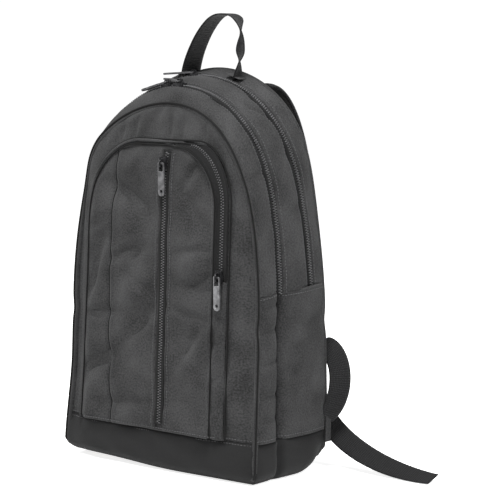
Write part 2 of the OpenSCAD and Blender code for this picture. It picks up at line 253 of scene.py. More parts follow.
def slump(verts):
    """Sag of the soft bag: rounded corners, a lifted toe, a narrower top at the back and a slight waist."""
    v = np.array(verts, float)
    x, y, z = v[:, 0], v[:, 1], v[:, 2]
    left = smooth((-x - 88) / 52) * smooth((-18 - y) / 38)
    high = 1 - 0.75 * smooth((z - 300) / 110)
    low = 0.55 + 0.45 * smooth((z - 10) / 110)
    v[:, 0] += 10.0 * left * high * low
    v[:, 1] += 8.0 * left * high * low
    right = smooth((x - 100) / 40) * smooth((-20 - y) / 38)
    v[:, 0] += 2.5 * right * smooth((260 - z) / 120)
    rear = smooth((np.abs(x) - 70) / 70) * smooth((y - 20) / 40) * smooth((70 - z) / 70)
    v[:, 0] -= np.sign(x) * 5.0 * rear * smooth((y - 20) / 40)
    v[:, 2] += 8.0 * rear * smooth((50 - z) / 40)
    upper = smooth((y - 20) / 30) * hill(z - 290, 75)
    v[:, 0] -= np.sign(x) * 4.0 * upper * smooth((np.abs(x) - 60) / 60)
    toe = smooth((24 - z) / 22) * smooth((30 - x) / 130) * smooth((-15 - y) / 35)
    v[:, 2] += 4.5 * toe
    waist = hill(z - 168, 11) * smooth((np.abs(x) - 100) / 40)
    v[:, 0] -= np.sign(x) * 1.8 * waist
    return v


def make_mesh(name, verts, faces, mat, uvs=None, slumps=True):
    mesh = bpy.data.meshes.new(name)
    if slumps:
        verts = slump(verts)
    mesh.from_pydata([tuple(v) for v in np.asarray(verts) * MM], [], [tuple(f) for f in faces])
    obj = bpy.data.objects.new(name, mesh)
    bpy.context.scene.collection.objects.link(obj)
    mesh.materials.append(mat)
    if uvs is not None:
        layer = mesh.uv_layers.new(name="UVMap")
        loops = np.zeros(len(mesh.loops), int)
        mesh.loops.foreach_get("vertex_index", loops)
        layer.data.foreach_set("uv", (np.asarray(uvs)[loops] * MM).astype(np.float32).ravel())
    mesh.polygons.foreach_set("use_smooth", [True] * len(mesh.polygons))
    mesh.update()
    return obj


def grid_faces(nu, nv):
    corners = [(i * nv + j, (i + 1) * nv + j) for i in range(nu - 1) for j in range(nv - 1)]
    return [(a, b, b + 1, a + 1) for a, b in corners]


def ring_faces(rings, sides):
    """Quads between successive rings, with a cap at each end."""
    faces = []
    for i in range(rings - 1):
        for j in range(sides):
            k = (j + 1) % sides
            faces.append((i * sides + j, i * sides + k, (i + 1) * sides + k, (i + 1) * sides + j))
    faces.append(tuple(range(sides))[::-1])
    faces.append(tuple((rings - 1) * sides + j for j in range(sides)))
    return faces


def grid_uv(points):
    """Lengths along both directions of a grid of points (nu, nv, 3), in mm."""
    along_u = np.linalg.norm(np.diff(points, axis=0), axis=2).mean(1)
    along_v = np.linalg.norm(np.diff(points, axis=1), axis=2).mean(0)
    u = np.concatenate([[0], np.cumsum(along_u)])
    v = np.concatenate([[0], np.cumsum(along_v)])
    return np.stack(np.meshgrid(u, v, indexing="ij"), -1).reshape(-1, 2)


def sheet(name, points, mat, thickness=1.6, flip=False):
    """A fabric panel from a grid of points; the thickness goes inwards."""
    nu, nv = points.shape[:2]
    faces = grid_faces(nu, nv)
    if flip:
        faces = [f[::-1] for f in faces]
    obj = make_mesh(name, points.reshape(-1, 3), faces, mat, grid_uv(points))
    solid = obj.modifiers.new("cloth thickness", "SOLIDIFY")
    solid.thickness = thickness * MM
    solid.offset = -1
    return obj


def tangents(path):
    t = np.gradient(path, axis=0)
    return t / np.maximum(np.linalg.norm(t, axis=1, keepdims=True), 1e-9)


def lengths(path):
    """Distance along a path at each of its points."""
    return np.concatenate([[0], np.cumsum(np.linalg.norm(np.diff(path, axis=0), axis=1))])


def unit(v):
    v = np.asarray(v, float)
    return v / np.maximum(np.linalg.norm(v, axis=-1, keepdims=True), 1e-9)


def across(path, dirs):
    """The part of dirs that is square to the path."""
    t = tangents(path)
    return t, unit(dirs - (dirs * t).sum(1, keepdims=True) * t)


def tube(name, path, radius, mat, normals, flat=1.0, sides=8):
    """A cord along a path; flat squeezes it along the normals."""
    t, n = across(path, normals)
    b = np.cross(t, n)
    angles = np.linspace(0, 2 * np.pi, sides, endpoint=False)
    size = np.broadcast_to(radius, (len(path),))[:, None]
    ring = [path + size * (math.cos(a) * b + flat * math.sin(a) * n) for a in angles]
    verts = np.stack(ring, 1).reshape(-1, 3)
    around = np.tile(angles * float(np.max(radius)), len(path))
    uvs = np.stack([np.repeat(lengths(path), sides), around], 1)
    return make_mesh(name, verts, ring_faces(len(path), sides), mat, uvs)


def resample(path, step, extra=None):
    """Points at even spacing along a path, with any values that go with them."""
    length = lengths(path)
    count = max(2, int(length[-1] / step))
    s = np.linspace(0, length[-1], count)
    out = np.stack([np.interp(s, length, path[:, k]) for k in range(3)], 1)
    if extra is None:
        return out
    other = np.stack([np.interp(s, length, extra[:, k]) for k in range(3)], 1)
    return out, unit(other)


BLOCK = np.array([(x, y, z) for x in (-1, 1) for y in (-1, 1) for z in (-1, 1)], float)
BLOCK_FACES = [(0, 1, 3, 2), (4, 6, 7, 5), (0, 4, 5, 1), (2, 3, 7, 6), (0, 2, 6, 4), (1, 5, 7, 3)]


def blocks(name, centres, xs, ys, zs, size, mat, taper=0.6):
    """Many small tapered blocks: size is half of the length, width and height along xs, ys and zs."""
    shape = BLOCK.copy()
    top = shape[:, 2] > 0
    shape[top, :2] *= taper
    verts = (centres[:, None, :]
             + shape[None, :, 0:1] * size[0] * xs[:, None, :]
             + shape[None, :, 1:2] * size[1] * ys[:, None, :]
             + shape[None, :, 2:3] * size[2] * zs[:, None, :])
    faces = [tuple(k * 8 + i for i in f) for k in range(len(centres)) for f in BLOCK_FACES]
    return make_mesh(name, verts.reshape(-1, 3), faces, mat, None)


def stitches(name, path, normals, mat=None, pitch=3.6, lift=0.25):
    points, n = resample(np.asarray(path, float), pitch, np.asarray(normals, float))
    t = tangents(points)
    b = np.cross(n, t)
    length, width, height = 2.5, 0.7, 0.7
    size = (length / 2, width / 2, height / 2)
    return blocks(name, points + n * lift, t, unit(b), n, size, mat or THREAD)


def coil(name, path, normals, half=2.7, pitch=2.9, height=0.8):
    """Two rows of interlocking nylon coils along a zip."""
    points, n = resample(np.asarray(path, float), pitch, np.asarray(normals, float))
    t = tangents(points)
    b = unit(np.cross(n, t))
    centres = []
    for k, side in enumerate((-1, 1)):
        shift = 0.5 * pitch * k
        centres.append(points + b * side * half * 0.48 + t * shift + n * height * 0.4)
    axes = [np.concatenate([v, v]) for v in (t, b, n)]
    size = (pitch * 0.22, half * 0.46, height)
    return blocks(name, np.concatenate(centres), *axes, size, COIL, taper=0.7)


# ---- Shape of the bag ----

def front_at(z):
    return FRONT_Y + FRONT_SLOPE * z + FRONT_BEND * np.maximum(0, z - FRONT_BEND_Z) ** 2


def main_at(z):
    return MAIN_Y0 - MAIN_SLOPE * z


def back_at(z):
    return BACK_Y - BACK_SLOPE * z


def arch(apex, s):
    """Point of an arch outline; s runs from -1 at the left base over 0 at the apex to 1 at the right base."""
    a, b = ARC_END, CURVE_END
    zc = apex - ARCH_R
    r, w = ARCH_R, HALF_W
    q = np.abs(s)
    ang = np.clip(q / a, 0, 1) * ARC_HALF
    ex, ez = r * math.sin(ARC_HALF), zc + r * math.cos(ARC_HALF)
    cz = ez - (w - ex) * math.tan(ARC_HALF)
    t = np.clip((q - a) / (b - a), 0, 1)
    bx = (1 - t) ** 2 * ex + 2 * t * (1 - t) * w + t * t * w
    bz = (1 - t) ** 2 * ez + 2 * t * (1 - t) * cz + t * t * SIDE_Z
    low = SIDE_Z * (1 - np.clip((q - b) / (1 - b), 0, 1))
    x = np.where(q < a, r * np.sin(ang), np.where(q < b, bx, w))
    z = np.where(q < a, zc + r * np.cos(ang), np.where(q < b, bz, low))
    return np.sign(s) * x, z


def half_width(apex, z):
    """Half width of the arch at height z."""
    s = np.linspace(0, 1, 400)
    xs, zs = arch(apex, s)
    return np.interp(z, zs[::-1], xs[::-1])


def s_at(apex, z):
    s = np.linspace(0, 1, 800)
    zs = arch(apex, s)[1]
    return float(np.interp(z, zs[::-1], s[::-1]))


def dents(a, b, seed, size):
    """Smooth undulation of the cloth, about -1 to 1, from a few waves in chosen directions."""
    count = 7
    rng = np.random.default_rng(seed)
    total = np.zeros(np.broadcast(a, b).shape)
    for _ in range(count):
        angle = rng.uniform(0, math.pi)
        wave_len = size * rng.uniform(0.6, 1.7)
        phase = rng.uniform(0, 2 * math.pi)
        bend = 0.35 * size * np.sin((a * math.sin(angle) - b * math.cos(angle)) / (size * 1.9) + phase * 2)
        along = a * math.cos(angle) + b * math.sin(angle) + bend
        total = total + np.sin(2 * math.pi * along / wave_len + phase)
    return total / count ** 0.5 / 1.4


def crease(a, b, a0, b0, angle, length, width, depth):
    """One soft crease centred at (a0, b0)."""
    c, s = math.cos(angle), math.sin(angle)
    along = (a - a0) * c + (b - b0) * s
    over = -(a - a0) * s + (b - b0) * c
    return -depth * hill(over, width) * hill(along, length)


def rim_distance(apex, x, z):
    """Rough distance to the arch outline."""
    zc = apex - ARCH_R
    side = half_width(apex, np.minimum(z, zc)) - np.abs(x)
    top = ARCH_R - np.hypot(x, np.maximum(z - zc, 0))
    return np.maximum(0, np.minimum(side, top))


def front_face(x, z):
    """Y of the front panel's surface: crowned, and pinched at its rim."""
    d = rim_distance(FRONT_APEX, x, z)
    crown = 3.8 * (1 - np.exp(-d / 34.0)) - 2.0 * np.exp(-d / 4.0)
    return front_at(z) - crown


def boot_pinch(z):
    return 1.6 * hill(z - BOOT_H, 3.0)


# ---- Gussets ----

GRIDS = {}

def gusset_point(s, t, a, b):
    """A point of the wrap-round gusset; a and b are (apex, y function) at its two edges."""
    xa, za = arch(a[0], s)
    xb, zb = arch(b[0], s)
    x = xa + (xb - xa) * t
    z = za + (zb - za) * t
    y = a[1](za) + (b[1](zb) - a[1](za)) * t
    return x, y, z


def outward(s, apex):
    """Outward direction of the arch in X and Z."""
    h = 0.002
    x0, z0 = arch(apex, s - h)
    x1, z1 = arch(apex, s + h)
    n = np.hypot(x1 - x0, z1 - z0)
    return (z0 - z1) / n, (x1 - x0) / n


def groove_depth(distance):
    """Depth of the groove between the compartments, by the distance from its middle."""
    return 6.0 * np.exp(-(distance / 3.4) ** 1.3)


def gusset(name, a, b, s0, s1, bulge, seed, nu, nv,
           mat=None, lift=None, pinch=1.4, creases=(), groove=None):
    """A band of cloth round the arch between the edges a and b, from s0 to s1 along the arch."""
    s = np.linspace(s0, s1, nu)[:, None] * np.ones((1, nv))
    t = np.ones((nu, 1)) * np.linspace(0, 1, nv)[None, :]
    x, y, z = gusset_point(s, t, a, b)
    nx, nz = outward(s, (a[0] + b[0]) / 2)
    depth = np.abs(b[1](z) - a[1](z))
    arc = s * ARCH_LENGTH
    edge = np.minimum(t, 1 - t) * depth
    off = bulge * np.sin(np.pi * t) ** 0.7 - pinch * np.exp(-edge / 2.0)
    off = off + 1.1 * dents(arc, y, seed, 46) * np.sin(np.pi * t) ** 0.6
    for c in creases:
        off = off + crease(z, y, *c)
    if lift is not None:
        off = off + lift(t)
    if groove is not None:
        off = off - groove_depth(np.abs(t - groove) * depth)
    points = np.stack([x + nx * off, y, z + nz * off], -1)
    GRIDS[name] = points
    return sheet(name, points, mat or BODY)


S_ALL = s_at(ZIP_1_APEX, ZIP_END_Z)
FRONT_EDGE = (FRONT_APEX, front_at)
ZIP_1A = (ZIP_1_APEX, lambda z: ZIP_1_Y - ZIP_HALF + 0 * z)
ZIP_1B = (ZIP_1_APEX, lambda z: ZIP_1_Y + ZIP_HALF + 0 * z)
ZIP_2A = (ZIP_2_APEX, lambda z: main_at(z) - ZIP_HALF)
ZIP_2B = (ZIP_2_APEX, lambda z: main_at(z) + ZIP_HALF)
BACK_EDGE = (BACK_APEX, back_at)
GROOVE_A = (ZIP_1_APEX, lambda z: ZIP_1_Y - 0.8 + 0 * z)
GROOVE_B = (ZIP_1_APEX, lambda z: ZIP_1_Y + 0.8 + 0 * z)


def arch_frame(apex, s):
    """Points of an arch, the parts of its outward direction, and that direction as vectors."""
    x, z = arch(apex, s)
    nx, nz = outward(s, apex)
    return x, z, nx, nz, np.stack([nx, 0 * nx, nz], 1)


def hem(side):
    """Raised folded edge beside a zip, on the side given (0 near the front, 1 near the back)."""
    def lift(t):
        return 0.9 * hill(np.abs(t - side) - 0.10, 0.07)
    return lift


def two_hems(t):
    return hem(0)(t) * 0.6 + hem(1)(t) * 0.6


def upper_gussets():
    front_creases = ((398, -40, 0.9, 22, 4, 1.6), (330, -38, 1.2, 26, 4, 1.6), (262, -42, 0.5, 26, 4, 1.5))
    main_creases = ((402, 0, 0.9, 14, 3, 2.2), (394, 4, 2.2, 14, 3, 2.0), (340, 8, 0.5, 30, 5, 1.8),
                    (285, 0, 1.0, 30, 6, 1.8), (240, 6, 0.3, 30, 5, 1.6))
    first = gusset("front_gusset_band", FRONT_EDGE, ZIP_1A, -S_ALL, S_ALL, 2.6, 3, 260, 16, lift=hem(1),
                   creases=front_creases)
    second = gusset("main_gusset_front_band", ZIP_1B, ZIP_2A, -S_ALL, S_ALL, 4.2, 5, 260, 20, lift=two_hems,
                    creases=main_creases)
    third = gusset("main_gusset_back_band", ZIP_2B, BACK_EDGE, -S_ALL, S_ALL, 2.4, 9, 260, 14, lift=hem(0))
    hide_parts("front_gusset_upper")
    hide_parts("main_gusset_front")
    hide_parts("main_gusset_back")
    return [first, second, third]


def lower_gussets():
    pieces = []
    for side, name in ((-1, "left"), (1, "right")):
        s0 = side * S_ALL
        s1 = side * s_at(ZIP_1_APEX, BOOT_H)
        marks = [(z0, ZIP_1_Y - 17, 1.45, 30, 3.2, 1.6) for z0 in (192, 166, 132, 96, 70)]
        wide = [(150, ZIP_1_Y + 40, 0.9, 40, 9, 1.6), (112, ZIP_1_Y + 25, 2.2, 36, 8, 1.3),
                (175, ZIP_1_Y + 60, 1.2, 30, 7, 1.5)]
        front = gusset(f"lower_front_gusset_{name}", FRONT_EDGE, GROOVE_A, s0, s1, 4.2, 21 + side, 90, 18,
                       creases=marks, pinch=1.6, groove=1)
        rear = gusset(f"lower_main_gusset_{name}", GROOVE_B, BACK_EDGE, s0, s1, 5.0, 31 + side, 90, 34,
                      creases=wide, pinch=1.6, groove=0)
        if side < 0:
            front.data.flip_normals()
            rear.data.flip_normals()
        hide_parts(f"front_gusset_lower_{name}")
        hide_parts(f"main_gusset_lower_{name}")
        pieces += [front, rear]
    return pieces


# ---- Zips round the arches ----

COIL_RISE = 1.1


def arch_zip(name, apex, y_at, node, hems):
    edge_a = (apex, lambda z: y_at(z) - ZIP_HALF - 1.5)
    edge_b = (apex, lambda z: y_at(z) + ZIP_HALF + 1.5)
    tape = gusset(f"{name}_tape", edge_a, edge_b, -S_ALL, S_ALL, 0.0, 2, 260, 7, mat=TAPE, pinch=0.0,
                  lift=lambda t: 0.9 - 2.2 * (2 * t - 1) ** 4)
    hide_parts(node)
    x, z, nx, nz, normal = arch_frame(apex, np.linspace(-S_ALL, S_ALL, 900))
    path = np.stack([x + nx * COIL_RISE, y_at(z), z + nz * COIL_RISE], 1)
    teeth = coil(f"{name}_coil", path, normal)
    seams = []
    for k, (grid, column) in enumerate(hems):
        row = GRIDS[grid][:, column]
        normal = arch_frame(apex, np.linspace(-S_ALL, S_ALL, len(row)))[4]
        seams.append(stitches(f"{name}_stitch_{k}", row, normal, mat=THREAD_DARK, lift=0.15))
    return [tape, teeth] + seams


# ---- Front panel, pocket and boot ----

def rows_panel(name, left, right, z0, z1, nx, nz, y_of, mat, top_power=1.0):
    """A panel on the front made of rows from left(z) to right(z)."""
    v = np.linspace(0, 1, nz)
    z = z0 + (z1 - z0) * (1 - (1 - v) ** top_power)
    u = np.linspace(0, 1, nx)
    x = left(z)[None, :] + (right(z) - left(z))[None, :] * u[:, None]
    zz = np.ones((nx, 1)) * z[None, :]
    points = np.stack([x, y_of(x, zz), zz], -1)
    return sheet(name, points, mat)


def panel_surface(x, z):
    y = front_face(x, z)
    above = smooth((z - 340) / 30)
    inner = smooth(rim_distance(FRONT_APEX, x, z) / 16)
    y = y + 1.6 * dents(x, z, 12, 60) * inner
    for x0, depth in ((-86, 3.2), (-62, 4.2), (-42, 4.0), (8, 4.4), (26, 3.4), (58, 2.6)):
        y = y - crease(x, z, x0, 372, 1.57, 20, 5.4, depth) * above * inner
    return y + boot_pinch(z)


def front_width(z):
    return half_width(FRONT_APEX, z) - 1.0


def front_panel():
    obj = rows_panel("front_panel_cloth", lambda z: -front_width(z), front_width, BOOT_H, FRONT_APEX - 1.0,
                     110, 130, panel_surface, BODY, top_power=1.6)
    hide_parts("front_panel")
    return obj


LEFT_RX, LEFT_RZ = 80, 105
RIGHT_RX, RIGHT_RZ = 48, 65


def pocket_flare(z):
    """The pocket widens a little to the left towards the base."""
    return 6.0 * smooth((250 - z) / 170)


def pocket_left(z):
    up = np.clip((z - (POCKET_T - LEFT_RZ)) / LEFT_RZ, 0, 1)
    return POCKET_L + LEFT_RX - LEFT_RX * np.sqrt(1 - up ** 2) - pocket_flare(z)


def pocket_right(z):
    up = np.clip((z - (POCKET_T - RIGHT_RZ)) / RIGHT_RZ, 0, 1)
    return POCKET_R - RIGHT_RX + RIGHT_RX * np.sqrt(1 - up ** 2)


INNER_X, INNER_Z, INNER_RX, INNER_RZ = POCKET_R - 79, POCKET_T - 69, 62.0, 64.0


def zip_inner(z):
    """Seam where the pocket cloth meets the curved zip."""
    up = np.clip((z - INNER_Z) / INNER_RZ, 0, 1)
    return INNER_X + INNER_RX * np.sqrt(1 - up ** 2)


def pocket_distance(x, z):
    side = np.minimum(x - pocket_left(z), pocket_right(z) - x)
    return np.maximum(0, np.minimum(side, POCKET_T - z))


def pocket_face(x, z):
    d = pocket_distance(x, z)
    rise = 2.2 + 2.8 * (1 - np.exp(-d / 22.0))
    return front_face(x, z) - rise + boot_pinch(z)


PLEAT_X = -59.0
WELT_INSET = 3.4

# Chosen folds of the pocket: x, z, direction, length, width and depth.
POCKET_FOLDS = ((-92, 210, 1.2, 40, 7, 3.4), (-40, 300, -0.5, 40, 9, 4.0), (-30, 150, 0.7, 46, 9, 3.4),
                (56, 290, 2.3, 40, 8, 3.6), (52, 140, 0.9, 40, 9, 3.4), (-90, 110, 0.3, 30, 8, 3.4),
                (64, 210, 0.1, 26, 7, 3.2), (-30, 72, 0.1, 60, 7, 2.6), (-85, 168, 0.1, 30, 6, 3.4),
                (-45, 236, 0.3, 34, 7, 3.2), (50, 330, 0.9, 22, 6, 3.2), (-20, 205, -0.4, 30, 7, 2.6),
                (56, 246, 0.15, 26, 6, 2.8), (50, 178, -0.2, 30, 6, 2.6), (-94, 268, 0.3, 20, 6, 2.8))


def pocket_dents(x, z):
    """Soft undulation of the pocket cloth, calm beside the stiff centre zip."""
    calm = 1 - 0.85 * hill(x - CENTRE_X, 22)
    calm = calm * (1 - 0.6 * hill(x - PLEAT_X, 16))
    return 3.8 * dents(x, z, 40, 70) * calm * smooth(pocket_distance(x, z) / 18)


def pleat_at(z):
    """Line of the pleat sewn down the left of the pocket."""
    return PLEAT_X - 7 * np.sin(np.pi * np.clip((z - BOOT_H) / 300, 0, 1))


def pocket_surface(x, z):
    y = pocket_face(x, z)
    y = y + pocket_dents(x, z)
    pleat = pleat_at(z)
    y = y + 1.5 * hill(x - pleat, 2.4) * smooth((355 - z) / 10)
    y = y - 0.9 * hill(x - pleat - 4.5, 3.0) * smooth((355 - z) / 10)
    near = np.abs(x - CENTRE_X)
    slot = smooth((CENTRE_TOP + 6 - z) / 4) * smooth((z - CENTRE_LOW + 8) / 4)
    y = y - 1.2 * hill(near - 8.2, 1.6) * slot
    y = y + 2.6 * smooth((7.0 - near) / 1.0) * slot
    y = y - 0.9 * np.exp(-(((zip_inner(z) - x) - 2.4) / 1.8) ** 2) * smooth((z - 60) / 20)
    edge = smooth(pocket_distance(x, z) / 18)
    for c in POCKET_FOLDS:
        y = y - 1.35 * crease(x, z, *c) * edge
    return y


def pocket_panel():
    obj = rows_panel("pocket_cloth", lambda z: pocket_left(z) + WELT_INSET,
                     lambda z: np.minimum(zip_inner(z), pocket_right(z) - 1), BOOT_H, POCKET_T - WELT_INSET,
                     230, 170, pocket_surface, BODY, top_power=1.0)
    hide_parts("pocket_panel")
    return obj


def zip_band_points(z_low, n, m, depth):
    """Band between the inner and outer seams of the curved zip, from its top end down to z_low."""
    q = np.linspace(0, 1, n)
    bend = 0.62
    ang = np.clip(q / bend, 0, 1) * math.pi / 2
    down = np.clip((q - bend) / (1 - bend), 0, 1)
    inner = np.stack([INNER_X + INNER_RX * np.sin(ang), INNER_Z + INNER_RZ * np.cos(ang)], 1)
    inner[:, 1] = np.where(q > bend, INNER_Z + (z_low - INNER_Z) * down, inner[:, 1])
    oz, ox = POCKET_T - RIGHT_RZ, POCKET_R - RIGHT_RX
    outer = np.stack([ox + RIGHT_RX * np.sin(ang), oz + RIGHT_RZ * np.cos(ang)], 1)
    outer[:, 0] = np.where(q < 0.08, INNER_X + (outer[:, 0] - INNER_X) * (q / 0.08), outer[:, 0])
    outer[:, 1] = np.where(q > bend, oz + (z_low - oz) * down, outer[:, 1])
    t = np.linspace(0, 1, m)
    flat = inner[:, None, :] * (1 - t)[None, :, None] + outer[:, None, :] * t[None, :, None]
    x, z = flat[..., 0], flat[..., 1]
    y = pocket_face(x, z) + depth * np.sin(np.pi * t)[None, :] ** 0.5
    return np.stack([x, y, z], -1)


POCKET_ZIP_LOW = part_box("pocket_zip")[0].z * 1000


def pocket_side():
    band = zip_band_points(POCKET_ZIP_LOW, 90, 9, 1.6)
    tape = sheet("pocket_zip_tape", band, TAPE, 1.0, flip=True)
    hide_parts("pocket_zip")
    line = band[6:, 4, :] + np.array([0, -0.2, 0])
    teeth = coil("pocket_zip_coil", line, forward(len(line)), half=2.5)
    return [tape, teeth, pocket_strip()]


def pocket_strip():
    """Narrow cloth below the curved zip, between the pocket cloth and the outer seam."""
    z = np.linspace(BOOT_H, POCKET_ZIP_LOW + 1, 60)
    q = np.linspace(0, 1, 10)
    x = (zip_inner(z)[:, None] * (1 - q) + (POCKET_R) * q)
    zz = z[:, None] * np.ones((1, 10))
    y = pocket_face(x, zz) + 1.0 + 0.9 * dents(x * 2, zz, 77, 30) - 1.4 * np.sin(np.pi * q)[None, :]
    for z0 in (80, 112, 150, 182):
        y = y - crease(x, zz, POCKET_R - 9, z0, 0.5, 14, 3.0, 1.3)
    strip = sheet("pocket_strip_cloth", np.stack([x, y, zz], -1), STRIP, 1.0)
    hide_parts("pocket_strip")
    return strip


def pocket_outline():
    """Left side and top of the pocket, from the boot seam up and over to the curved zip."""
    left_z = np.linspace(BOOT_H, POCKET_T - LEFT_RZ, 40)
    path = [(POCKET_L - pocket_flare(z), z) for z in left_z]
    for a in np.linspace(180, 90, 40)[1:]:
        r = math.radians(a)
        x = POCKET_L + LEFT_RX + LEFT_RX * math.cos(r)
        path.append((x, POCKET_T - LEFT_RZ + LEFT_RZ * math.sin(r)))
    for x in np.linspace(POCKET_L + LEFT_RX, INNER_X + 14, 30)[1:]:
        path.append((x, POCKET_T))
    return np.array(path)


def outer_seam():
    """Right side of the pocket, from the top corner down to the boot seam."""
    path = [(POCKET_R - RIGHT_RX - 12 + 3 * k, POCKET_T) for k in range(4)]
    for a in np.linspace(90, 0, 30):
        r = math.radians(a)
        x = POCKET_R - RIGHT_RX + RIGHT_RX * math.cos(r)
        path.append((x, POCKET_T - RIGHT_RZ + RIGHT_RZ * math.sin(r)))
    for z in np.linspace(POCKET_T - RIGHT_RZ, BOOT_H, 50)[1:]:
        path.append((POCKET_R, z))
    return np.array(path)


def on_face(flat, lift, face):
    """Lays a line of (x, z) points on a surface, lifted off it towards the front."""
    x, z = flat[:, 0], flat[:, 1]
    return np.stack([x, face(x, z) - lift, z], 1)


def forward(n):
    return np.tile([0.0, -1.0, 0.0], (n, 1))


def offset_line(flat, distance):
    """Moves a line in the XZ plane sideways; positive is away from the pocket's middle."""
    t = tangents(np.c_[flat, np.zeros(len(flat))])[:, :2]
    return flat + np.stack([-t[:, 1], t[:, 0]], 1) * distance


def inner_seam():
    """Lower edge of the welt, running on along the inner edge of the curved zip."""
    top = offset_line(pocket_outline(), -WELT_INSET)
    top = top[top[:, 0] < INNER_X - 6]
    a = np.linspace(0, math.pi / 2, 40)
    curve = np.stack([INNER_X + INNER_RX * np.sin(a), INNER_Z + INNER_RZ * np.cos(a)], 1)
    z = np.linspace(INNER_Z, BOOT_H, 60)[1:]
    side = np.stack([zip_inner(z), z], 1)
    return np.concatenate([top, curve, side])


def seam_tube(name, line, radius):
    return tube(name, line, radius, LINE, forward(len(line)))


def pocket_edges():
    flat = pocket_outline()
    path = on_face(flat, 2.2, front_face)
    taper = 0.3 + 1.9 * smooth(np.arange(len(path))[::-1] / 22.0)
    welt = tube("pocket_piped_edge", path, taper, BODY, forward(len(path)), flat=0.7)
    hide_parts("pocket_welt")
    whole = np.concatenate([flat, outer_seam()])
    outside = resample(on_face(offset_line(whole, 2.4), 1.5, front_face), 2.0)
    inside = resample(on_face(inner_seam(), 0.9, pocket_face), 2.0)
    z = np.linspace(BOOT_H + 2, POCKET_T - 11, 90)
    pleat = on_face(np.stack([PLEAT_X - 7 * np.sin(np.pi * (z - BOOT_H) / 300), z], 1), -0.1, pocket_surface)
    return [welt, seam_tube("pocket_outer_seam", outside, 0.95), seam_tube("pocket_inner_seam", inside, 0.95),
            seam_tube("pocket_pleat_seam", pleat, 0.8)]


def centre_zip():
    z = np.linspace(CENTRE_LOW, CENTRE_TOP, 90)
    q = np.linspace(-1, 1, 7)
    x = CENTRE_X + q[None, :] * 6.6 + 0 * z[:, None]
    zz = z[:, None] + 0 * x
    y = pocket_face(x, zz) + pocket_dents(x, zz) + 1.3
    tape = sheet("centre_zip_tape", np.stack([x, y, zz], -1), TAPE, 0.8)
    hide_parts("centre_zip")
    line = np.stack([x[:, 3], y[:, 3] - 0.3, zz[:, 3]], 1)
    teeth = coil("centre_zip_coil", line, forward(len(line)), half=2.5)
    pieces = [tape, teeth]
    for k, dx in enumerate((-10.4, 10.4)):
        path = on_face(np.stack([CENTRE_X + dx + 0 * z, z], 1), 0.15, pocket_surface)
        row = stitches(f"centre_zip_stitch_{k}", path, forward(len(path)), mat=THREAD_DARK, pitch=3.2)
        pieces.append(row)
    return pieces


# ---- Base boot ----

BOOT_UNDER = 15.0


def boot_profile():
    """Inward distance and height of the boot's section, from its top seam down and under."""
    profile = [(0.0, BOOT_H - k * (BOOT_H - BOOT_UNDER) / 8) for k in range(9)]
    profile += [(BOOT_UNDER * (1 - math.cos(a)), BOOT_UNDER * (1 - math.sin(a)))
                for a in np.linspace(0, math.pi / 2, 9)[1:]]
    profile += [(BOOT_UNDER + d, 0.0) for d in (8, 20, 34)]
    return np.array(profile).T


def side_bulge(u):
    return np.sin(np.pi * np.clip(u, 0, 1)) ** 0.6


def boot_front():
    inward, height = boot_profile()
    u = np.linspace(0, 1, 70)
    x = (-1 + 2 * u)[:, None] * (HALF_W - inward * 0.9 - 1)[None, :]
    y = front_at(height)[None, :] + inward[None, :] + 0 * x
    y = y - 5.0 * side_bulge(u)[:, None] * np.exp(-inward / 12)[None, :]
    y = y - 1.0 * dents(x, height[None, :] * 2, 60, 60) * np.exp(-inward / 8)[None, :]
    y = y + boot_pinch(height)[None, :]
    seam = panel_surface(x, BOOT_H + 0 * x) - 0.3
    inside = smooth(pocket_distance(x, BOOT_H + 0 * x) / 6)
    low = smooth((BOOT_H - height) / 9)[None, :]
    y = y * low + (seam * (1 - inside) + y * inside) * (1 - low)
    z = height[None, :] + 0 * x
    obj = sheet("boot_front_cloth", np.stack([x, y, z], -1), BOOT, 1.4, flip=True)
    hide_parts("boot_front")
    return obj


def boot_side(side, name):
    inward, height = boot_profile()
    u = np.linspace(0, 1, 50)
    ya = front_at(height) + inward * 0.9 + 0.5
    yb = back_at(height) - inward * 0.9
    y = ya[None, :] + (yb - ya)[None, :] * u[:, None]
    groove = groove_depth(np.abs(y - ZIP_1_Y)) * np.exp(-inward / 10)[None, :]
    bulge = 3.6 * side_bulge(u)[:, None] * np.exp(-inward / 12)[None, :]
    rear = 5.0 * smooth((y - 40) / 25) * smooth((30 - height) / 30)[None, :]
    x = HALF_W - inward[None, :] + bulge - groove - 1.4 * hill(height - BOOT_H, 3.0)
    x = x - rear + 0.8 * dents(y, height[None, :] * 2, 66, 50) * np.exp(-inward / 8)[None, :]
    z = height[None, :] + 0 * x
    obj = sheet(f"boot_side_cloth_{name}", np.stack([side * x, y, z], -1), BOOT, 1.4, flip=side > 0)
    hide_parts(f"boot_side_{name}")
    return obj


def boot_bottom():
    margin = 14
    xs = np.linspace(-HALF_W + margin, HALF_W - margin, 30)[:, None] * np.ones((1, 20))
    ys = np.linspace(FRONT_Y + margin, BACK_Y - margin, 20)[None, :] * np.ones((30, 1))
    obj = sheet("boot_bottom_cloth", np.stack([xs, ys, 0 * xs + 0.2], -1), BOOT, 1.4, flip=True)
    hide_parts("boot_bottom")
    return obj


def boot():
    """Smooth panels wrapped round the bottom and rounded under, in four sewn pieces."""
    return [boot_front(), boot_side(-1, "left"), boot_side(1, "right"), boot_bottom()]


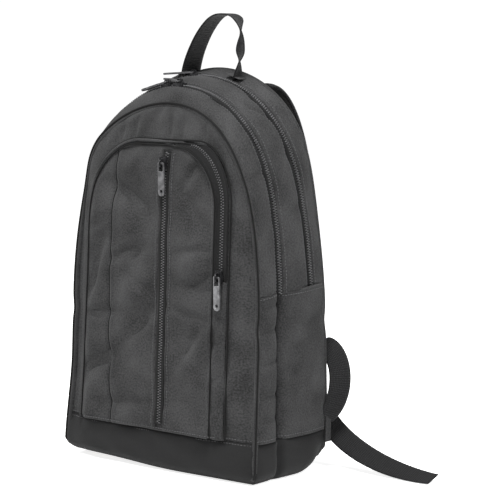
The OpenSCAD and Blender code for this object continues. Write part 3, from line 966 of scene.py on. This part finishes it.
def base_board():
    """Thin fibre board with rounded corners, inside on the bottom."""
    half_w, half_d = 122, 50
    sides = 96
    a = np.linspace(0, 2 * np.pi, sides, endpoint=False)
    power = 0.22
    x = half_w * np.sign(np.cos(a)) * np.abs(np.cos(a)) ** power
    y = half_d * np.sign(np.sin(a)) * np.abs(np.sin(a)) ** power
    rings = [(0.5, 3.2), (0.96, 3.2), (1.0, 3.6), (1.0, 4.8), (0.96, 5.2), (0.5, 5.2)]
    verts = np.concatenate([np.stack([x * k, y * k, z + 0 * x], 1) for k, z in rings])
    board = hard_material("fibre_board", (0.16, 0.13, 0.09), 0.8, 0.0, 1.3)
    obj = make_mesh("base_board_insert", verts, ring_faces(len(rings), sides), board, slumps=False)
    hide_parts("base_board")
    return obj


# ---- Seams ----

PIPING_SPAN = np.linspace(-0.985, 0.985, 420)
CORE_R = 3.2
CORE_INSET = 2.3


def front_piping():
    x, z, nx, nz, normal = arch_frame(FRONT_APEX, PIPING_SPAN)
    low = np.maximum(0, 16 - z)
    x = x - np.sign(x) * low * 0.45
    path = np.stack([x + nx * 0.2, front_at(z) - 0.6 + low * 0.3, z + nz * 0.2], 1)
    obj = tube("front_arch_piping", path, 1.35, CORD, normal)
    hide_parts("front_piping")
    core = np.stack([x - nx * CORE_INSET, front_at(z) + 2.0 + low * 0.3, z - nz * CORE_INSET], 1)
    return [obj, tube("front_seam_core", core, CORE_R, BODY, normal)]


def boot_seam_stitches():
    """Two rows of stitches across the front, beside the boot seam."""
    x = np.linspace(-HALF_W + 5, HALF_W - 5, 120)
    z = BOOT_H - 2.6 + 0 * x
    below = np.stack([x, panel_surface(x, z) - 0.2, z], 1)
    z = BOOT_H + 2.8 + 0 * x
    inside = (x > POCKET_L + 3) & (x < POCKET_R - 1)
    above = np.stack([x, np.where(inside, pocket_surface(x, z), panel_surface(x, z)) - 0.2, z], 1)
    return [stitches(f"boot_seam_front_{k}", row, forward(len(x))) for k, row in enumerate((below, above))]


def side_seam_stitches(name, side):
    pieces = []
    for part in ("front", "main"):
        grid = GRIDS[f"lower_{part}_gusset_{name}"]
        for k, z0 in enumerate((BOOT_H + 3.5, ZIP_END_Z - 4)):
            row = grid[np.argmin(np.abs(grid[:, 8, 2] - z0)), 1:-1].copy()
            row[:, 0] += side * 0.15
            n = np.tile([side, 0.0, 0.0], (len(row), 1))
            pieces.append(stitches(f"side_seam_{part}_{name}_{k}", row, n))
    return pieces


def seam_lines():
    return boot_seam_stitches() + side_seam_stitches("left", -1.0) + side_seam_stitches("right", 1.0)


def back_piping():
    x, z, _, _, normal = arch_frame(BACK_APEX, PIPING_SPAN)
    low = np.maximum(0, 20 - z)
    path = np.stack([x - np.sign(x) * low * 0.5, back_at(z) - low * 0.3, z], 1)
    inner = path - normal * CORE_INSET + np.array([0, -2.0, 0])
    cord = tube("back_arch_piping", path, 1.6, STRIP, normal)
    return [cord, tube("back_seam_core", inner, CORE_R, BODY, normal)]


# ---- Back ----

def back_face(x, z):
    d = rim_distance(BACK_APEX, x, z)
    return back_at(z) + 3.0 * (1 - np.exp(-d / 20.0)) - 0.4


def back_width(z):
    return half_width(BACK_APEX, z) - 1.0 - np.maximum(0, 20 - z) * 0.5


def back_panel():
    obj = rows_panel("back_panel_cloth", lambda z: -back_width(z), back_width, 3.0, BACK_APEX - 1.0, 60, 90,
                     lambda x, z: back_face(x, z) - 4 * np.exp(-z / 8.0), MESH, top_power=1.6)
    obj.data.flip_normals()
    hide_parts("back_panel")
    return obj


def back_pads():
    pieces = []
    low, high = (c * 1000 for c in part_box("back_pads"))
    pad_w = 82.0
    for k, x0 in enumerate((low.x, high.x - pad_w)):
        u = np.linspace(0, 1, 50)[:, None] * np.ones((1, 110))
        v = np.ones((50, 1)) * np.linspace(0, 1, 110)[None, :]
        ex = np.abs(2 * u - 1)
        ez = np.abs(2 * v - 1)
        x = x0 + pad_w * (0.5 + (u - 0.5) * np.sqrt(np.clip(1 - 0.18 * ez ** 8, 0, 1)))
        z = low.z + (high.z - low.z) * (0.5 + (v - 0.5) * np.sqrt(np.clip(1 - 0.06 * ex ** 8, 0, 1)))
        d = np.minimum((1 - ex) * pad_w / 2, (1 - ez) * (high.z - low.z) / 2)
        swell = 9.0 * (1 - np.exp(-d / 9.0))
        for m in range(1, 4):
            zc = low.z + (high.z - low.z) * m / 4
            swell = swell - 3.4 * hill(z - zc - 0.10 * (x - x0), 4.0) * smooth(d / 10)
        y = back_face(x, z) + 0.3 + swell
        name = ("back_pad_left", "back_pad_right")[k]
        pieces.append(sheet(name, np.stack([x, y, z], -1), MESH, 1.2, flip=True))
    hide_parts("back_pads")
    return pieces


def yoke():
    low, high = (c * 1000 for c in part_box("strap_yoke"))
    obj = rows_panel("strap_yoke_cloth", lambda z: low.x + 0 * z, lambda z: high.x + 0 * z, low.z, high.z,
                     40, 12, lambda x, z: back_face(x, z) + 2.2, PAD)
    obj.data.flip_normals()
    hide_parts("strap_yoke")
    return obj


# ---- Webbing, straps and handle ----

def bezier(p, n):
    t = np.linspace(0, 1, n)[:, None]
    p = np.asarray(p, float)
    return (1 - t) ** 3 * p[0] + 3 * t * (1 - t) ** 2 * p[1] + 3 * t * t * (1 - t) * p[2] + t ** 3 * p[3]


def ribbon(name, path, dirs, width, thick, mat, edge=0.35, nv=13):
    """A closed strap along a path: dirs is the direction of width at each point."""
    t, d = across(path, dirs)
    n = np.cross(t, d)
    width = np.broadcast_to(np.asarray(width, float), (len(path),))
    q = np.linspace(-1, 1, nv)
    half = np.sqrt(np.clip(1 - np.abs(q) ** (2 / edge), 0, 1))
    top = [path + d * (width / 2 * a)[:, None] + n * (thick / 2 * h) for a, h in zip(q, half)]
    low = [path + d * (width / 2 * a)[:, None] - n * (thick / 2 * h) for a, h in zip(q, half)]
    ring = np.stack(top + low[1:-1][::-1], 1)
    sides = ring.shape[1]
    over = np.concatenate([q, q[1:-1][::-1]]) * width.mean() / 2
    uvs = np.stack([np.repeat(lengths(path), sides), np.tile(over, len(path))], 1)
    return make_mesh(name, ring.reshape(-1, 3), ring_faces(len(path), sides), mat, uvs, slumps=False)


HANDLE_Y = 35.0
HANDLE_W = 33.0

# The grab handle from its left to its right end: x, z and twist.
HANDLE_KEYS = np.array([(-34, 428, 0.0), (-34, 440, 0.0), (-27, 460, 0.05), (-14, 482, 0.1),
                        (2, 498, 0.15), (18, 502, 0.2), (32, 497, 0.35), (38.5, 479, 0.8),
                        (37.5, 461, 1.0), (36, 447, 0.6), (34, 430, 0.3)])


def handle():
    t = np.linspace(0, len(HANDLE_KEYS) - 1, 120)
    x, z, twist = (smooth_curve(HANDLE_KEYS[:, c], t) for c in range(3))
    path = np.stack([x, HANDLE_Y + 0 * x, z], 1)
    dirs = np.stack([-np.sin(twist), np.cos(twist), 0 * x], 1)
    obj = ribbon("handle_webbing", path, dirs, HANDLE_W, 2.0, WEB)
    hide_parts("grab_handle")
    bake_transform(obj)
    return obj


def smooth_curve(values, t):
    """Catmull-Rom through the key values."""
    i = np.clip(t.astype(int), 0, len(values) - 2)
    f = t - i
    p0 = values[np.maximum(i - 1, 0)]
    p1 = values[i]
    p2 = values[i + 1]
    p3 = values[np.minimum(i + 2, len(values) - 1)]
    return 0.5 * (2 * p1 + (p2 - p0) * f + (2 * p0 - 5 * p1 + 4 * p2 - p3) * f ** 2
                  + (3 * p1 - p0 - 3 * p2 + p3) * f ** 3)


STRAP_PATH = [(46, 50, 418), (50, 96, 418), (84, 92, 270), (112, 73, 152)]
LOOP_PATH = [(114, 66, 130), (140, 76, 158), (175, 74, 104), (143, 62, 56)]
TAIL_PATH = [(116, 80, 128), (92, 82, 36), (200, 78, 5), (274, 82, 5)]
WEB_W, WEB_THICK = 24, 1.6
TAIL_PATH_LEFT = [(116, 80, 128), (120, 90, 30), (128, 112, 5), (138, 180, 3)]


def mirrored(points, side):
    return np.asarray(points, float) * np.array([side, 1, 1])


def shoulder_pad(side, name):
    count = 90
    path = bezier(mirrored(STRAP_PATH, side), count)
    q = np.linspace(0, 1, count)
    width = 46 + 14 * np.sin(np.pi * np.clip(q * 1.1 + 0.05, 0, 1)) - 22 * smooth((q - 0.86) / 0.14)
    dirs = np.tile([side * 1.0, 0.0, 0.22], (count, 1))
    pad = ribbon(f"shoulder_pad_{name}", path, dirs, width, 10.5, PAD, edge=0.45, nv=17)
    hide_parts(f"shoulder_strap_{name}")
    t, d = across(path, dirs)
    pieces = [pad]
    for k, edge in enumerate((-1, 1)):
        line = path + d * (width / 2 * edge * 0.97)[:, None]
        pieces.append(tube(f"strap_binding_{name}_{k}", line, 1.9, WEB, np.cross(t, d)))
    for piece in pieces:
        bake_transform(piece)


def lower_webbing(side, name):
    path = bezier(mirrored(LOOP_PATH, side), 60)
    turn = np.linspace(0, 1, 60)[:, None]
    dirs = (1 - turn) ** 3 * np.array([side * 0.4, -0.4, 0.2]) + np.array([side * 0.774, 0.633, 0])
    dirs = dirs - turn ** 4 * np.array([side * 0.6, 0, 0])
    web = ribbon(f"lower_strap_{name}", path, dirs, WEB_W, WEB_THICK, WEB)
    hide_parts(f"lower_webbing_{name}")
    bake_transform(web)


def strap_tail(side, name):
    path = bezier(mirrored(TAIL_PATH if side > 0 else TAIL_PATH_LEFT, side), 80)
    t = np.linspace(0, 1, 80)[:, None]
    if side > 0:
        dirs = (1 - t) * (np.array([0, 0, 1.0]) + (1 - t) * np.array([0.7, 0, 0]))
        dirs = dirs + t * np.array([0.2, 0.93, 0.28])
    else:
        dirs = np.tile([1.0, 0.0, 0.0], (80, 1))
    tail = ribbon(f"strap_tail_{name}", path, dirs, WEB_W, WEB_THICK, WEB)
    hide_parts(f"webbing_tail_{name}")
    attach(tail, f"tail_{name}")


def straps():
    for side, name in ((-1, "left"), (1, "right")):
        shoulder_pad(side, name)
        lower_webbing(side, name)
        strap_tail(side, name)
        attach(corner_tab(side, name), "bag")


def corner_tab(side, name):
    low, high = (c * 1000 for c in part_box(f"corner_tab_{name}"))
    path = np.stack([np.full(16, side * (HALF_W + 2.0)), np.full(16, high.y - 5),
                     np.linspace(low.z - 2, high.z + 4, 16)], 1)
    dirs = np.tile([0.0, 1.0, 0.0], (16, 1))
    tab = ribbon(f"corner_anchor_{name}", path, dirs, 10, 2.0, BODY)
    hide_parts(f"corner_tab_{name}")
    return tab


def handle_anchor_tabs():
    pieces = []
    ang = math.asin(38 / ARCH_R)
    for side in (-1, 1):
        centre = np.array([side * 38, HANDLE_Y - 3, ZIP_2_APEX + 4 - ARCH_R * (1 - math.cos(ang)) + 2.2])
        along = np.array([math.cos(ang), 0, -side * math.sin(ang)])
        path = centre + np.linspace(-10, 10, 12)[:, None] * along
        pieces.append(ribbon(f"handle_tab_{'left' if side < 0 else 'right'}", path,
                             np.tile([0.0, 1.0, 0.0], (12, 1)), 22, 1.2, BODY))
    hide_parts("handle_tabs")
    return pieces


# ---- Carried-over hard parts ----

def hard_parts():
    """Materials for the sliders, pullers, locks and divider, which are shown as the CAD made them."""
    looks = {"slider": BLACK, "puller": GREY, "lock": PLASTIC, "divider_panel": BOOT}
    for name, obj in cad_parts.items():
        for word, mat in looks.items():
            if word in name:
                obj.data.materials.clear()
                obj.data.materials.append(mat)


# ---- Stage, light and camera ----

CAMERA_AZIMUTH = math.radians(39.25)
CAMERA_ELEVATION = math.radians(6)
CAMERA_ROLL = math.radians(0.56)
CAMERA_DISTANCE = 2.388
CAMERA_TARGET = np.array([0.011, 0.088, 0.2335])
CAMERA_LENS = 149.7


def camera():
    back = np.array([math.sin(CAMERA_AZIMUTH) * math.cos(CAMERA_ELEVATION),
                     -math.cos(CAMERA_AZIMUTH) * math.cos(CAMERA_ELEVATION), math.sin(CAMERA_ELEVATION)])
    right = unit(np.cross(-back, [0, 0, 1]))
    up = np.cross(back, right)
    c, s = math.cos(CAMERA_ROLL), math.sin(CAMERA_ROLL)
    right, up = right * c + up * s, -right * s + up * c
    data = bpy.data.cameras.new("camera")
    data.lens = CAMERA_LENS
    data.sensor_width = 36
    data.clip_end = 20
    obj = bpy.data.objects.new("camera", data)
    bpy.context.scene.collection.objects.link(obj)
    matrix = Matrix.Identity(4)
    for k, axis in enumerate((right, up, back)):
        for r in range(3):
            matrix[r][k] = axis[r]
    place = CAMERA_TARGET + back * CAMERA_DISTANCE
    for r in range(3):
        matrix[r][3] = place[r]
    obj.matrix_world = matrix
    bpy.context.scene.camera = obj


# Name, place, target, size and power of each light.
LIGHTS = (("top", (0.5, -0.7, 2.3), (0, 0, 0.25), (0.7, 0.7), 85),
          ("side", (2.1, -0.2, 1.5), (0, 0, 0.25), (0.5, 0.9), 25),
          ("front", (-1.5, -1.3, 1.9), (0, 0, 0.2), (0.4, 0.5), 30))


def area_light(name, place, target, size, power):
    data = bpy.data.lights.new(name, "AREA")
    data.shape = "RECTANGLE"
    data.size, data.size_y = size
    data.energy = power
    obj = bpy.data.objects.new(name, data)
    bpy.context.scene.collection.objects.link(obj)
    obj.location = place
    direction = Vector(target) - Vector(place)
    obj.rotation_euler = direction.to_track_quat("-Z", "Y").to_euler()


def camera_level(tree, unseen, seen):
    """A strength with one value for camera rays and another for the light it gives."""
    path = tree.nodes.new("ShaderNodeLightPath")
    level = tree.nodes.new("ShaderNodeMapRange")
    level.inputs["To Min"].default_value = unseen
    level.inputs["To Max"].default_value = seen
    tree.links.new(path.outputs["Is Camera Ray"], level.inputs["Value"])
    return level.outputs["Result"]


def floor():
    mesh = bpy.data.meshes.new("floor")
    size = 6.0
    corners = [(x * size, y * size, 0) for x, y in ((-1, -1), (1, -1), (1, 1), (-1, 1))]
    mesh.from_pydata(corners, [], [(0, 1, 2, 3)])
    obj = bpy.data.objects.new("floor", mesh)
    bpy.context.scene.collection.objects.link(obj)
    mat, tree, shader = new_material("pale_floor", (0.97, 0.97, 0.97), 0.9)
    shader.inputs["Emission Color"].default_value = (1, 1, 1, 1)
    tree.links.new(camera_level(tree, 0.2, 0.8), shader.inputs["Emission Strength"])
    grain = noise(tree, tree.nodes.new("ShaderNodeTexCoord").outputs["Object"], 60, 2)
    bump(tree, shader, grain, 0.02, 0.001)
    mesh.materials.append(mat)


def studio():
    world = bpy.data.worlds.new("studio")
    world.use_nodes = True
    tree = world.node_tree
    tree.nodes["Background"].inputs["Color"].default_value = (1, 1, 1, 1)
    seen = camera_level(tree, 0.22, 1.04)
    tree.links.new(seen, tree.nodes["Background"].inputs["Strength"])
    bpy.context.scene.world = world
    for light in LIGHTS:
        area_light(*light)
    bpy.context.scene.view_settings.view_transform = "Standard"


# ---- Assembly ----

def ride_all(objs):
    for o in objs:
        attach(o, "bag")


ride_all(upper_gussets())
ride_all(lower_gussets())
ride_all(arch_zip("front_zip", ZIP_1_APEX, lambda z: ZIP_1_Y + 0 * z, "front_zip",
                  (("front_gusset_band", 14), ("main_gusset_front_band", 2))))
ride_all(arch_zip("main_zip", ZIP_2_APEX, main_at, "main_zip",
                  (("main_gusset_front_band", 17), ("main_gusset_back_band", 2))))
ride_all([front_panel(), pocket_panel()])
ride_all(pocket_side())
ride_all(pocket_edges())
ride_all(centre_zip())
ride_all(boot())
ride_all(front_piping() + back_piping())
ride_all(seam_lines() + [base_board()])
ride_all([back_panel(), yoke()])
ride_all(back_pads())
ride_all(handle_anchor_tabs())
handle()
straps()
hard_parts()
floor()
studio()
camera()

bpy.context.view_layer.update()
